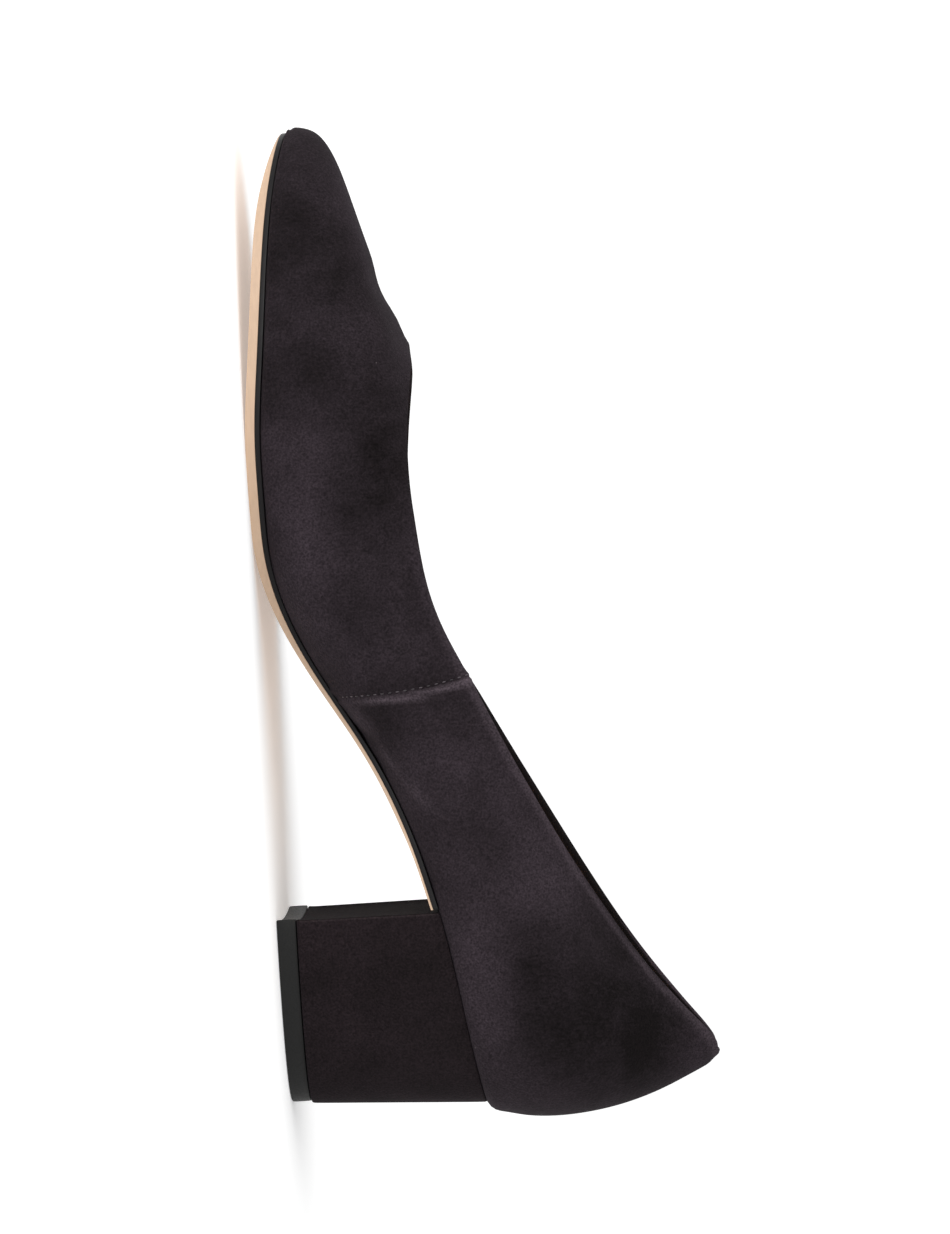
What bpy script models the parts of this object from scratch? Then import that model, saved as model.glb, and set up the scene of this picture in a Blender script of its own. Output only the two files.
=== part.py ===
"""Women's suede pump for the right foot, on a covered block heel.

The toe points along +X, the inner (medial) side of the foot is +Y and the floor is z = 0.
The upper is a hollow wall drawn over the last in sections that run round the shoe: each section
climbs from the feather edge, past the widest line, to the topline. Sole, rand and insole are cut
flat from the same feather outline and then bent to the last's bottom. Sizes are in millimetres.
"""

from collections import namedtuple

import bmesh
import bpy
import numpy as np

MM = 0.001

# Driving sizes of the shoe
LENGTH = 250.0
BALL_WIDTH = 79.5
SEAT_HEIGHT = 49.2
TOE_SPRING = 9.3
SOLE_STACK = 3.7

# Wall, sole and heel
GAP = 0.3
WALL = 1.8
TUCK = 0.35
LASTING_MARGIN = 9.0
RIM_CREST = 0.5
SEAM_DEPTH = 0.5
SEAM_HALF_WIDTH = 0.06
RAND_THICKNESS = 1.1
RAND_WIDTH = 8.0
RAND_OVERHANG = 0.5
SOLE_OVERHANG = 0.2
INSOLE_THICKNESS = 3.2
INSOLE_INSET = 2.4
BREAST_STATION = 54.0
BREAST_HOLLOW = 1.4
BREAST_STEPS = 6
HEEL_BACK_RAKE = 2.2
HEEL_TAPER = 0.9
LIFT_THICKNESS = 4.6
LIFT_INSET = 0.6

# Sections from the back of the heel (row 0) round to the toe tip (last row). Stations are in
# percent of LENGTH from the heel. Medial and lateral are places across, from the middle line, in
# percent of BALL_WIDTH.
Feather = namedtuple("Feather", "station medial lateral")
FEATHER = (
    Feather(1.6, 0.0, 0.0),
    Feather(4.4, 18.9, -18.9),
    Feather(12.4, 28.9, -30.2),
    Feather(21.5, 30.8, -34.6),
    Feather(30.8, 27.0, -38.2),
    Feather(40.4, 22.4, -42.3),
    Feather(48.6, 21.8, -46.6),
    Feather(57.6, 31.4, -52.0),
    Feather(66.4, 38.1, -52.2),
    Feather(75.6, 36.9, -46.4),
    Feather(86.2, 29.7, -35.3),
    Feather(96.0, 16.2, -19.4),
    Feather(99.4, -1.3, -1.3),
)

# The widest line of the wall; rise is its height above the feather edge in millimetres.
Widest = namedtuple("Widest", "station medial lateral rise")
WIDEST = (
    Widest(0.0, 0.0, 0.0, 16.0),
    Widest(3.6, 25.2, -23.6, 16.5),
    Widest(12.4, 35.3, -35.6, 18.5),
    Widest(21.6, 36.9, -40.3, 18.0),
    Widest(30.8, 38.4, -44.8, 17.5),
    Widest(40.4, 39.5, -49.3, 17.5),
    Widest(48.8, 41.0, -53.1, 16.5),
    Widest(57.6, 41.6, -57.5, 12.0),
    Widest(66.4, 43.1, -56.5, 9.2),
    Widest(76.0, 41.0, -50.4, 7.4),
    Widest(87.0, 32.7, -38.5, 6.1),
    Widest(96.4, 18.7, -22.2, 4.3),
    Widest(100.0, -1.3, -1.3, 2.4),
)

# The topline, with the heights of its two sides above the floor in millimetres. Each section leaves
# the widest line straight up for rise, and reaches the topline from the point given by run and lift.
# All three are shares of the way from the widest line to the topline.
Topline = namedtuple("Topline", "station medial lateral inner_height outer_height rise run lift")
TOPLINE = (
    Topline(5.1, 0.6, 0.6, 107.6, 107.6, 0.40, 0.45, 0.70),
    Topline(8.0, 10.4, -9.8, 103.2, 103.4, 0.40, 0.50, 0.72),
    Topline(14.4, 16.4, -16.7, 90.7, 91.7, 0.40, 0.50, 0.75),
    Topline(22.4, 23.3, -25.0, 77.9, 79.0, 0.40, 0.50, 0.75),
    Topline(31.2, 32.3, -35.4, 65.9, 66.7, 0.40, 0.50, 0.75),
    Topline(41.0, 38.4, -42.4, 54.0, 53.4, 0.40, 0.50, 0.77),
    Topline(49.0, 39.6, -44.1, 45.9, 43.8, 0.40, 0.50, 0.80),
    Topline(55.2, 40.5, -43.4, 41.6, 39.0, 0.40, 0.47, 0.82),
    Topline(60.8, 40.6, -40.5, 39.5, 37.0, 0.40, 0.45, 0.85),
    Topline(66.0, 37.7, -36.2, 39.1, 37.0, 0.38, 0.45, 0.86),
    Topline(70.8, 32.3, -30.0, 39.6, 38.2, 0.36, 0.50, 0.83),
    Topline(75.0, 23.6, -18.7, 40.5, 39.9, 0.43, 0.54, 0.60),
    Topline(77.8, 3.1, 3.1, 40.9, 40.9, 0.49, 0.55, 0.46),
)
TIP = len(TOPLINE) - 1
TURN = 2 * TIP

# Side seam on the medial wall and back seam at the heel, as positions round the sections
SIDE_SEAM = 5.36
BACK_SEAM = 0.0

# Bottom of the last: heel is the share of SEAT_HEIGHT above the tread, toe that of TOE_SPRING.
Bottom = namedtuple("Bottom", "station heel toe")
REAR_BOTTOM = (
    Bottom(0.0, 1.0, 0.0),
    Bottom(8.0, 0.930, 0.0),
    Bottom(21.5, 0.800, 0.0),
    Bottom(30.0, 0.664, 0.0),
    Bottom(38.0, 0.464, 0.0),
    Bottom(45.0, 0.236, 0.0),
    Bottom(52.0, 0.062, 0.0),
    Bottom(59.2, 0.0, 0.0),
)
FRONT_BOTTOM = (
    Bottom(66.4, 0.0, 0.0),
    Bottom(76.0, 0.0, 0.18),
    Bottom(86.0, 0.0, 0.41),
    Bottom(94.0, 0.0, 0.67),
    Bottom(100.0, 0.0, 1.0),
)

# Outsole and rand together, in millimetres: thinner under the waist and at the toe tip
Stack = namedtuple("Stack", "station thickness")
STACKS = (Stack(36.0, 2.8), Stack(58.0, SOLE_STACK), Stack(92.0, SOLE_STACK), Stack(100.0, 2.9))

# Mesh density
RAYS_PER_SECTION = 4
TUCK_RINGS = 3
WALL_RINGS = 9

SUEDE = ("suede", (0.022, 0.018, 0.023), 0.95)
COVER = ("heel_suede", (0.020, 0.016, 0.020), 0.95)
NATURAL = ("natural_sole", (0.62, 0.45, 0.31), 0.55)
BLACK_EDGE = ("black_edge", (0.010, 0.010, 0.011), 0.35)
LINING = ("lining_leather", (0.72, 0.53, 0.36), 0.5)
RUBBER = ("black_rubber", (0.012, 0.013, 0.013), 0.6)


def hermite(knots, values, slopes, at):
    """Cubic through values at knots with the given slopes, read at the positions at."""
    i = np.clip(np.searchsorted(knots, at, side="right") - 1, 0, len(knots) - 2)
    span = knots[i + 1] - knots[i]
    t = ((at - knots[i]) / span)[(...,) + (None,) * (values.ndim - 1)]
    span = span[(...,) + (None,) * (values.ndim - 1)]
    return (
        values[i] * (1 + 2 * t) * (1 - t) ** 2
        + values[i + 1] * t**2 * (3 - 2 * t)
        + slopes[i] * span * t * (1 - t) ** 2
        + slopes[i + 1] * span * t**2 * (t - 1)
    )


def closed_spline(values, at):
    """Smooth closed curve through the rows of values, read at positions counted in rows."""
    n = len(values)
    ring = np.arange(n)
    system = 4 * np.eye(n)
    system[ring, (ring + 1) % n] = 1
    system[ring, (ring - 1) % n] = 1
    slopes = np.linalg.solve(system, 3 * (np.roll(values, -1, 0) - np.roll(values, 1, 0)))
    wrap = np.arange(n + 1) % n
    return hermite(np.arange(n + 1.0), values[wrap], slopes[wrap], np.mod(at, n))


def open_spline(knots, values, level_start, level_end, at):
    """Smooth open curve; an end is level where asked, and free of bending where not."""
    h = np.diff(knots)
    d = np.diff(values) / h
    n = len(knots)
    system = np.zeros((n, n))
    right = np.zeros(n)
    for i in range(1, n - 1):
        system[i, i - 1 : i + 2] = h[i], 2 * (h[i - 1] + h[i]), h[i - 1]
        right[i] = 3 * (h[i] * d[i - 1] + h[i - 1] * d[i])
    system[0, :2] = (1, 0) if level_start else (2, 1)
    right[0] = 0 if level_start else 3 * d[0]
    system[-1, -2:] = (0, 1) if level_end else (1, 2)
    right[-1] = 0 if level_end else 3 * d[-1]
    return hermite(knots, values, np.linalg.solve(system, right), at)


def last_bottom(x):
    """Height of the feather edge above the floor at station x: flat over the tread."""
    x = np.asarray(x, float)
    height = np.full(x.shape, SOLE_STACK)
    for rows, level_start, level_end in ((REAR_BOTTOM, False, True), (FRONT_BOTTOM, True, False)):
        knots = np.array([row.station for row in rows]) * LENGTH / 100
        lift = SEAT_HEIGHT - SOLE_STACK
        values = np.array([row.heel * lift + row.toe * TOE_SPRING for row in rows])
        inside = (x >= knots[0]) & (x <= knots[-1])
        height[inside] += open_spline(knots, values, level_start, level_end, x[inside])
    return height


def sole_stack(x):
    """Thickness of outsole and rand together at station x."""
    stations = [row.station * LENGTH / 100 for row in STACKS]
    return np.interp(x, stations, [row.thickness for row in STACKS])


def on_bottom(plan, up):
    """Plan points laid on the last's bottom and lifted by up."""
    return np.column_stack([plan, last_bottom(plan[:, 0]) + up])


def line_round(table, inner, outer, p):
    """A closed line at positions p round the sections, in millimetres.

    inner names the columns read on the medial rows out to the toe, outer those on the way back."""
    there = [[getattr(row, name) for name in inner] for row in table]
    back = [[getattr(row, name) for name in outer] for row in table[-2:0:-1]]
    line = closed_spline(np.array(there + back), p)
    line[:, 0] *= LENGTH / 100
    line[:, 1] *= BALL_WIDTH / 100
    return line


def feather(p):
    """Points of the feather edge at positions p round the sections."""
    plan = line_round(FEATHER, ("station", "medial"), ("station", "lateral"), p)
    return on_bottom(plan, 0)


def widest(p):
    """Points of the wall's widest line."""
    line = line_round(WIDEST, ("station", "medial", "rise"), ("station", "lateral", "rise"), p)
    return on_bottom(line[:, :2], line[:, 2])


def topline(p):
    """Points of the topline, with the rise, run and lift of the sections that reach it."""
    shape = ("rise", "run", "lift")
    inner = ("station", "medial", "inner_height", *shape)
    outer = ("station", "lateral", "outer_height", *shape)
    line = line_round(TOPLINE, inner, outer, p)
    return line[:, :3], *line[:, 3:].T


def plan_normal(p):
    """Outward direction of the feather outline in plan."""
    step = 0.01
    along = feather(p + step) - feather(p - step)
    normal = np.column_stack([-along[:, 1], along[:, 0]])
    return normal / np.linalg.norm(normal, axis=1)[:, None]


def outline(p, outset):
    """The feather outline in plan, moved outwards by outset."""
    return feather(p)[:, :2] + outset * plan_normal(p)


def skin(p, v):
    """Outer face of the upper: v from 0 at the feather edge, 1 at the widest line, 2 at the topline."""
    low, wide = feather(p), widest(p)
    top, rise, run, lift = topline(p)
    if v <= 1:
        tuck = wide.copy()
        tuck[:, 2] = low[:, 2] + TUCK * (wide[:, 2] - low[:, 2])
        return low * (1 - v) ** 2 + tuck * 2 * v * (1 - v) + wide * v**2
    t = v - 1
    leave, arrive = wide.copy(), wide + (top - wide) * run[:, None]
    leave[:, 2] = wide[:, 2] + rise * (top[:, 2] - wide[:, 2])
    arrive[:, 2] = wide[:, 2] + lift * (top[:, 2] - wide[:, 2])
    return (
        wide * (1 - t) ** 3
        + leave * 3 * t * (1 - t) ** 2
        + arrive * 3 * t**2 * (1 - t)
        + top * t**3
    )


def skin_normal(p, v):
    """Outward direction of the upper's outer face."""
    step = 0.02
    round_it = skin(p + step, v) - skin(p - step, v)
    up_it = skin(p, min(v + step, 2)) - skin(p, max(v - step, 0))
    normal = np.cross(up_it, round_it)
    return normal / np.linalg.norm(normal, axis=1)[:, None]


def seam_dip(p):
    """Depth of the closed seams, which sink into the wall along two sections."""
    away = np.minimum.reduce(
        [np.abs((p - seam + TIP) % TURN - TIP) for seam in (SIDE_SEAM, BACK_SEAM)]
    )
    return SEAM_DEPTH * np.clip(1 - away / SEAM_HALF_WIDTH, 0, 1)


def rays():
    """Positions of the mesh's sections: evenly round the shoe, with three at each seam."""
    even = np.arange(0, TURN, 1 / RAYS_PER_SECTION)
    extra = []
    for seam in (SIDE_SEAM, BACK_SEAM):
        even = even[np.abs((even - seam + TIP) % TURN - TIP) > 2 * SEAM_HALF_WIDTH]
        extra += [seam - SEAM_HALF_WIDTH, seam, seam + SEAM_HALF_WIDTH]
    return np.sort(np.mod(np.concatenate([even, extra]), TURN))


def box_centre():
    """Middle of the shoe's outline in plan, which becomes the origin."""
    line = widest(np.linspace(0, TURN, 40 * TURN, endpoint=False))[:, :2]
    return (line.min(0) + line.max(0)) / 2


def material(finish):
    name, colour, roughness = finish
    made = bpy.data.materials.new(name)
    made.use_nodes = True
    shader = made.node_tree.nodes["Principled BSDF"]
    shader.inputs["Base Color"].default_value = (*colour, 1)
    shader.inputs["Roughness"].default_value = roughness
    shader.inputs["Metallic"].default_value = 0
    return made


def finish_part(name, bm, finish):
    """Moves the mesh to the shoe's origin, in metres, and makes it a named object."""
    centre = box_centre()
    for vert in bm.verts:
        vert.co.x = (vert.co.x - centre[0]) * MM
        vert.co.y = (vert.co.y - centre[1]) * MM
        vert.co.z *= MM
    bmesh.ops.recalc_face_normals(bm, faces=bm.faces[:])
    mesh = bpy.data.meshes.new(name)
    bm.to_mesh(mesh)
    bm.free()
    mesh.shade_smooth()
    mesh.set_sharp_from_angle(angle=np.radians(40))
    mesh.materials.append(material(finish))
    made = bpy.data.objects.new(name, mesh)
    bpy.context.scene.collection.objects.link(made)
    return made


def add_loop(bm, points):
    verts = [bm.verts.new(point) for point in points]
    return [bm.edges.new((a, b)) for a, b in zip(verts, verts[1:] + verts[:1])]


def ring_solid(loops):
    """Bridges each loop to the next, and the last to the first, into one ring-shaped solid."""
    bm = bmesh.new()
    edges = [add_loop(bm, points) for points in loops]
    for here, following in zip(edges, edges[1:] + edges[:1]):
        bmesh.ops.bridge_loops(bm, edges=here + following)
    return bm


def sheet_solid(plan, rungs, under, over):
    """A flat cut piece with cross cuts between the rungs' two points, then bent between two heights.

    under and over take a station and give a height."""
    bm = bmesh.new()
    verts = [bm.verts.new((x, y, 0)) for x, y in plan]
    bm.faces.new(verts)
    for a, b in rungs:
        bmesh.ops.connect_verts(bm, verts=[verts[a], verts[b]])
    sheet = bm.faces[:]
    raised = bmesh.ops.extrude_face_region(bm, geom=sheet, use_keep_orig=True)["geom"]
    upper_verts = [item for item in raised if isinstance(item, bmesh.types.BMVert)]
    for group, height in ((verts, under), (upper_verts, over)):
        heights = height(np.array([vert.co.x for vert in group]))
        for vert, z in zip(group, heights):
            vert.co.z = z
    return bm


def position_at(station):
    """Position round the medial sections where the feather edge reaches a station."""
    p = np.linspace(0, TIP, 100 * TIP)
    return float(np.interp(station, feather(p)[:, 0], p))


def build_upper():
    """Suede and lining as one wall, turned in under the insole and folded at the topline."""
    p = rays()
    low = feather(p)
    climb = list(np.linspace(0, 1, TUCK_RINGS + 1)[1:])
    climb += list(np.linspace(1, 2, WALL_RINGS + 1)[1:])
    outer = [skin(p, v) - skin_normal(p, v) * seam_dip(p)[:, None] for v in climb]
    inner = [skin(p, v) - skin_normal(p, v) * WALL for v in climb]
    crest = (outer[-1] + inner[-1]) / 2
    crest[:, 2] += RIM_CREST
    margin = outline(p, -LASTING_MARGIN)
    corner = on_bottom(outline(p, -WALL), WALL)
    under, over = on_bottom(margin, 0), on_bottom(margin, WALL)
    loops = [under, low, *outer, crest, *inner[::-1], corner, over]
    return finish_part("upper", ring_solid(loops), SUEDE)


def sole_positions():
    """Positions of the sole's cross cuts, from the heel breast to just behind the toe tip."""
    start = position_at(BREAST_STATION + GAP)
    return np.concatenate([[start], np.arange(np.ceil(start * 4) / 4 + 0.25, TIP, 0.25)])


def build_outsole():
    """Leather sole from the heel breast to the toe, thin in the waist and flat at the tread."""
    p = sole_positions()
    round_it = np.concatenate([p, [TIP], TURN - p[::-1]])
    plan = outline(round_it, SOLE_OVERHANG)
    last = len(round_it) - 1
    rungs = [(i, last - i) for i in range(1, len(p))]
    bm = sheet_solid(
        plan,
        rungs,
        lambda x: last_bottom(x) - sole_stack(x),
        lambda x: last_bottom(x) - RAND_THICKNESS - 2 * GAP,
    )
    return finish_part("outsole", bm, NATURAL)


def build_rand():
    """Black strip let in between sole and upper, round the toe from breast to breast."""
    p = sole_positions()
    round_it = np.concatenate([p, [TIP], TURN - p[::-1]])
    plan = np.concatenate([outline(round_it, RAND_OVERHANG), outline(round_it, -RAND_WIDTH)[::-1]])
    last = len(plan) - 1
    rungs = [(i, last - i) for i in range(1, len(round_it) - 1)]
    bm = sheet_solid(
        plan,
        rungs,
        lambda x: last_bottom(x) - RAND_THICKNESS - GAP,
        lambda x: last_bottom(x) - GAP,
    )
    return finish_part("rand", bm, BLACK_EDGE)


def build_insole():
    """Padded insole with its leather sock, lying on the turned-in margin of the upper."""
    p = np.arange(0, TURN, 0.25)
    plan = outline(p, -INSOLE_INSET)
    rungs = [(i, len(p) - i) for i in range(1, len(p) // 2)]
    seat = WALL + GAP
    bm = sheet_solid(
        plan,
        rungs,
        lambda x: last_bottom(x) + seat,
        lambda x: last_bottom(x) + seat + INSOLE_THICKNESS,
    )
    return finish_part("insole", bm, LINING)


def heel_plan(outset):
    """Heel outline in plan: the seat's outline round the back, and a hollow breast."""
    end = position_at(BREAST_STATION)
    steps = np.linspace(-end, end, 25)
    back = outline(np.mod(steps, TURN), outset)
    medial, lateral = back[-1], back[0]
    across = np.linspace(0, 1, BREAST_STEPS + 1)[1:-1, None]
    breast = medial + (lateral - medial) * across
    breast[:, 0] -= BREAST_HOLLOW * (1 - (2 * across[:, 0] - 1) ** 2)
    return np.concatenate([back, breast]), len(back)


def taper(plan, share):
    """Draws the heel's plan in towards the breast and its middle line, as it is at the floor."""
    front = BREAST_STATION
    back = feather(np.zeros(1))[0, 0]
    drawn = plan.copy()
    drawn[:, 0] = front + (plan[:, 0] - front) * (1 - share * HEEL_BACK_RAKE / (front - back))
    drawn[:, 1] = plan[:, 1] * (1 - share * (1 - HEEL_TAPER))
    return drawn


def build_heel():
    """Block heel covered in suede: its top follows the seat, and it narrows a little downwards."""
    plan, backs = heel_plan(0)
    rungs = [(i, backs - 1 - i) for i in range(1, backs // 2)]
    foot = LIFT_THICKNESS + GAP
    bm = sheet_solid(plan, rungs, lambda x: np.full(x.shape, foot), lambda x: last_bottom(x) - GAP)
    bm.verts.ensure_lookup_table()
    for vert, (x, y) in zip(bm.verts[: len(plan)], taper(plan, 1)):
        vert.co.x, vert.co.y = x, y
    return finish_part("heel", bm, COVER)


def build_top_lift():
    """Black rubber piece under the heel, set in a little from its cover."""
    plan, backs = heel_plan(-LIFT_INSET)
    plan = taper(plan, 1)
    rungs = [(i, backs - 1 - i) for i in range(1, backs // 2)]
    bm = sheet_solid(plan, rungs, np.zeros_like, lambda x: np.full(x.shape, LIFT_THICKNESS))
    return finish_part("top_lift", bm, RUBBER)


def clear_scene():
    for old in list(bpy.data.objects):
        bpy.data.objects.remove(old)


clear_scene()
build_upper()
build_outsole()
build_rand()
build_insole()
build_heel()
build_top_lift()
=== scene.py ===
"""Looks of a women's suede pump for the right foot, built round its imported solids.

The toe points along +X, the inner (medial) side of the foot is +Y and the floor is z = 0.
Stations are millimetres from the back of the heel, heights are millimetres above the floor.
"""

import math
from collections import namedtuple

import bmesh
import bpy
from mathutils import Matrix, Vector, noise
from mathutils.bvhtree import BVHTree
from mathutils.kdtree import KDTree


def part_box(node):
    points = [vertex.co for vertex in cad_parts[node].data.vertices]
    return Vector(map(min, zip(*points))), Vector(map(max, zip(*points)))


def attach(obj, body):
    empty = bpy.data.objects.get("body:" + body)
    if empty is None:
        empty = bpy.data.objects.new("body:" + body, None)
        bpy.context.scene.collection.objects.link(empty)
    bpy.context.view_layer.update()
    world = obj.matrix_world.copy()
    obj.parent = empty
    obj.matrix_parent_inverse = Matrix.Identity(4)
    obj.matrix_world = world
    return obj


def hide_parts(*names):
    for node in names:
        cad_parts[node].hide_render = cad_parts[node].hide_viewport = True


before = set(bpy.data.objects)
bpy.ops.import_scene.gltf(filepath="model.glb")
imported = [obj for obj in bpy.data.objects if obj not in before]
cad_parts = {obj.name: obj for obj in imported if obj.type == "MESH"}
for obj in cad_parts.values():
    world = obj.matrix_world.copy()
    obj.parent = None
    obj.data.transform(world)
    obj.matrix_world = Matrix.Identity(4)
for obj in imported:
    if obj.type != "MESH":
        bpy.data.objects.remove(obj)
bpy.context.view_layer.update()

# Upper: one suede shell drawn over the last, folded over at the topline and turned in under the
# insole. It is closed by a sewn side seam on the inner side and a seam up the back of the heel.
MM = 0.001
HEEL_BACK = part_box("upper")[0].x
MERGE_WITHIN = 0.001
LINING_THICKNESS = 0.6
FOLD_DEPTH = 2.4
RIM_UPWARD = 0.45

# Middle line of the foot's space, by which the wall's inner and outer sides are told apart
Spine = namedtuple("Spine", "station across height")
SPINE = (
    Spine(25, 4.5, 70),
    Spine(75, 4.0, 55),
    Spine(125, 2.0, 28),
    Spine(175, 4.0, 22),
    Spine(225, 4.0, 20),
)


def station_of(place):
    return (place.x - HEEL_BACK) / MM


def between(rows, column, station):
    """Value of a table's column at a station, in a straight line between its rows."""
    if station <= rows[0].station:
        return getattr(rows[0], column)
    for low, high in zip(rows, rows[1:]):
        if station <= high.station:
            share = (station - low.station) / (high.station - low.station)
            return getattr(low, column) * (1 - share) + getattr(high, column) * share
    return getattr(rows[-1], column)


def cad_copy(node, flat_within):
    """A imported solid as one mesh, its triangles joined into four-sided faces."""
    bm = bmesh.new()
    bm.from_mesh(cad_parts[node].data)
    bmesh.ops.remove_doubles(bm, verts=bm.verts, dist=MERGE_WITHIN * MM)
    bmesh.ops.join_triangles(
        bm,
        faces=bm.faces,
        angle_face_threshold=math.radians(flat_within),
        angle_shape_threshold=math.pi,
        topology_influence=2.0,
    )
    for face in bm.faces:
        face.material_index = 0
    return bm


def subdivided(bm, levels, fits):
    """A finer, smooth mesh, brought back to the corners of the given one so many times."""
    aims = [vert.co.copy() for vert in bm.verts]
    for _ in range(fits + 1):
        mesh = bpy.data.meshes.new("draft")
        bm.to_mesh(mesh)
        draft = bpy.data.objects.new("draft", mesh)
        bpy.context.scene.collection.objects.link(draft)
        smooth = draft.modifiers.new("smooth", "SUBSURF")
        smooth.levels = smooth.render_levels = levels
        finer = bmesh.new()
        finer.from_object(draft, bpy.context.evaluated_depsgraph_get())
        bpy.data.objects.remove(draft)
        finer.verts.ensure_lookup_table()
        for vert, aim in zip(bm.verts, aims):
            vert.co += aim - finer.verts[vert.index].co
    bm.free()
    finer.normal_update()
    return finer


def piece(name, bm, material, node=None):
    """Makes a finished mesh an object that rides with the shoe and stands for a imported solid."""
    mesh = bpy.data.meshes.new(name)
    bm.to_mesh(mesh)
    bm.free()
    mesh.shade_smooth()
    mesh.materials.clear()
    mesh.materials.append(material)
    mesh.polygons.foreach_set("material_index", [0] * len(mesh.polygons))
    made = bpy.data.objects.new(name, mesh)
    bpy.context.scene.collection.objects.link(made)
    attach(made, "root")
    if node:
        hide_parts(node)
    return made


def spine_at(place):
    """Middle of the foot's space at the station of a place."""
    station = min(max(station_of(place), SPINE[0].station), SPINE[-1].station)
    across, height = between(SPINE, "across", station), between(SPINE, "height", station)
    return Vector((HEEL_BACK + station * MM, across * MM, height * MM))


def faces_inside(face):
    """True on the wall's inner side, which looks towards the middle of the foot."""
    middle = face.calc_center_median()
    inwards = spine_at(middle) - middle
    on_rim = inwards.z < 0 and face.normal.z > RIM_UPWARD
    return not on_rim and face.normal.dot(inwards) > 0


def topline_crest(bm):
    """Search tree of the topline's inner edge, where the rim turns down into the inner wall."""
    crest = []
    for vert in bm.verts:
        sides = {face.material_index for face in vert.link_faces}
        if len(sides) == 2 and vert.co.z > spine_at(vert.co).z:
            crest.append(vert.co.copy())
    crest_places = KDTree(len(crest))
    for i, place in enumerate(crest):
        crest_places.insert(place, i)
    crest_places.balance()
    return crest_places


def fold_over_topline(bm, crest_places):
    """Cuts the inner wall a little below the topline and hands the rim above the cut to the suede."""

    def past_fold(place):
        return crest_places.find(place)[2] / MM - FOLD_DEPTH

    cut = []
    for edge in bm.edges[:]:
        if all(face.material_index for face in edge.link_faces):
            start, end = (past_fold(vert.co) for vert in edge.verts)
            if start * end < 0:
                cut.append(bmesh.utils.edge_split(edge, edge.verts[0], start / (start - end))[1])
    bmesh.ops.connect_verts(bm, verts=cut)
    for face in bm.faces:
        middle = face.calc_center_median()
        if middle.z > spine_at(middle).z and past_fold(middle) < 0:
            face.material_index = 0


def hump(distance, width):
    """1 in the middle and 0 from width away, with a soft shoulder."""
    return math.cos(0.5 * math.pi * min(abs(distance) / width, 1)) ** 2


# The side seam leans forward a little towards the topline. Behind it the turned edge of the quarter
# stands up in a soft ridge, and the vamp lies flatter in front. The first two values say how far off
# the middle line the inner wall begins, and at which station the back of the heel ends.
INNER_WALL_FROM = 12
BACK_WALL_TO = 16
SEAM_FOOT = Vector((106.6, 16.7))
SEAM_TOP = Vector((110.4, 50.6))
SEAM_BEND = 2.6
SEAM_GROOVE, SEAM_GROOVE_WIDTH = 0.35, 0.7
SEAM_RIDGE, SEAM_RIDGE_WIDTH, SEAM_RIDGE_BEHIND = 0.4, 1.45, 1.0
SEAM_LIP, SEAM_LIP_WIDTH, SEAM_LIP_AHEAD = 0.12, 1.6, 1.5
SEAM_TOP_FLAT, SEAM_TOP_REACH = 0.7, 5
# The seam's ridge is drawn lighter from a little above its foot: rubbed nap with a painted highlight.
SEAM_RUB_AND_HIGHLIGHT, SEAM_RUB_AND_HIGHLIGHT_FROM, SEAM_RUB_AND_HIGHLIGHT_RISE = 0.7, 2, 9
BACK_GROOVE, BACK_GROOVE_WIDTH = 0.25, 0.8
BACK_RIDGE, BACK_RIDGE_WIDTH, BACK_RIDGE_BESIDE = 0.15, 2.2, 1.9
BACK_SEAM_ACROSS = 5.9


def side_seam_station(height):
    share = (height - SEAM_FOOT.y) / (SEAM_TOP.y - SEAM_FOOT.y)
    return SEAM_FOOT.x + (SEAM_TOP.x - SEAM_FOOT.x) * max(share, 0) ** SEAM_BEND


def seam_relief(place):
    """Height of the wall's two seams over the plain skin, in millimetres."""
    station, across, height = station_of(place), place.y / MM, place.z / MM
    if across > INNER_WALL_FROM:
        ahead = station - side_seam_station(height)
        flat_at_top = 1 - SEAM_TOP_FLAT * hump(height - SEAM_TOP.y, SEAM_TOP_REACH)
        return (
            SEAM_RIDGE * flat_at_top * hump(ahead + SEAM_RIDGE_BEHIND, SEAM_RIDGE_WIDTH)
            + SEAM_LIP * hump(ahead - SEAM_LIP_AHEAD, SEAM_LIP_WIDTH)
            - SEAM_GROOVE * hump(ahead, SEAM_GROOVE_WIDTH)
        )
    if station < BACK_WALL_TO:
        aside = abs(across - BACK_SEAM_ACROSS)
        ridge = BACK_RIDGE * hump(aside - BACK_RIDGE_BESIDE, BACK_RIDGE_WIDTH)
        return ridge - BACK_GROOVE * hump(aside, BACK_GROOVE_WIDTH)
    return 0.0


# The folded edge is padded at the back of the heel, where the topline comes to a blunt point.
PEAK_STATION, PEAK_HEIGHT, PEAK_REACH, PEAK_ROLL = 16.0, 103.0, 11.0, 0.35


def peak_relief(place):
    """Height of the padded roll round the back of the topline, in millimetres."""
    away = math.hypot(station_of(place) - PEAK_STATION, place.z / MM - PEAK_HEIGHT)
    return PEAK_ROLL * hump(away, PEAK_REACH)


def seam_rub_and_highlight(place):
    """Share by which the seam's ridge is drawn lighter: rubbed nap with a painted highlight along it.
    """
    if place.y < INNER_WALL_FROM * MM:
        return 0.0
    height = place.z / MM
    ahead = station_of(place) - side_seam_station(height)
    rise = min(max((height - SEAM_FOOT.y - SEAM_RUB_AND_HIGHLIGHT_FROM) / SEAM_RUB_AND_HIGHLIGHT_RISE, 0), 1)
    return SEAM_RUB_AND_HIGHLIGHT * rise * hump(ahead + SEAM_RIDGE_BEHIND, SEAM_RIDGE_WIDTH)


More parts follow.
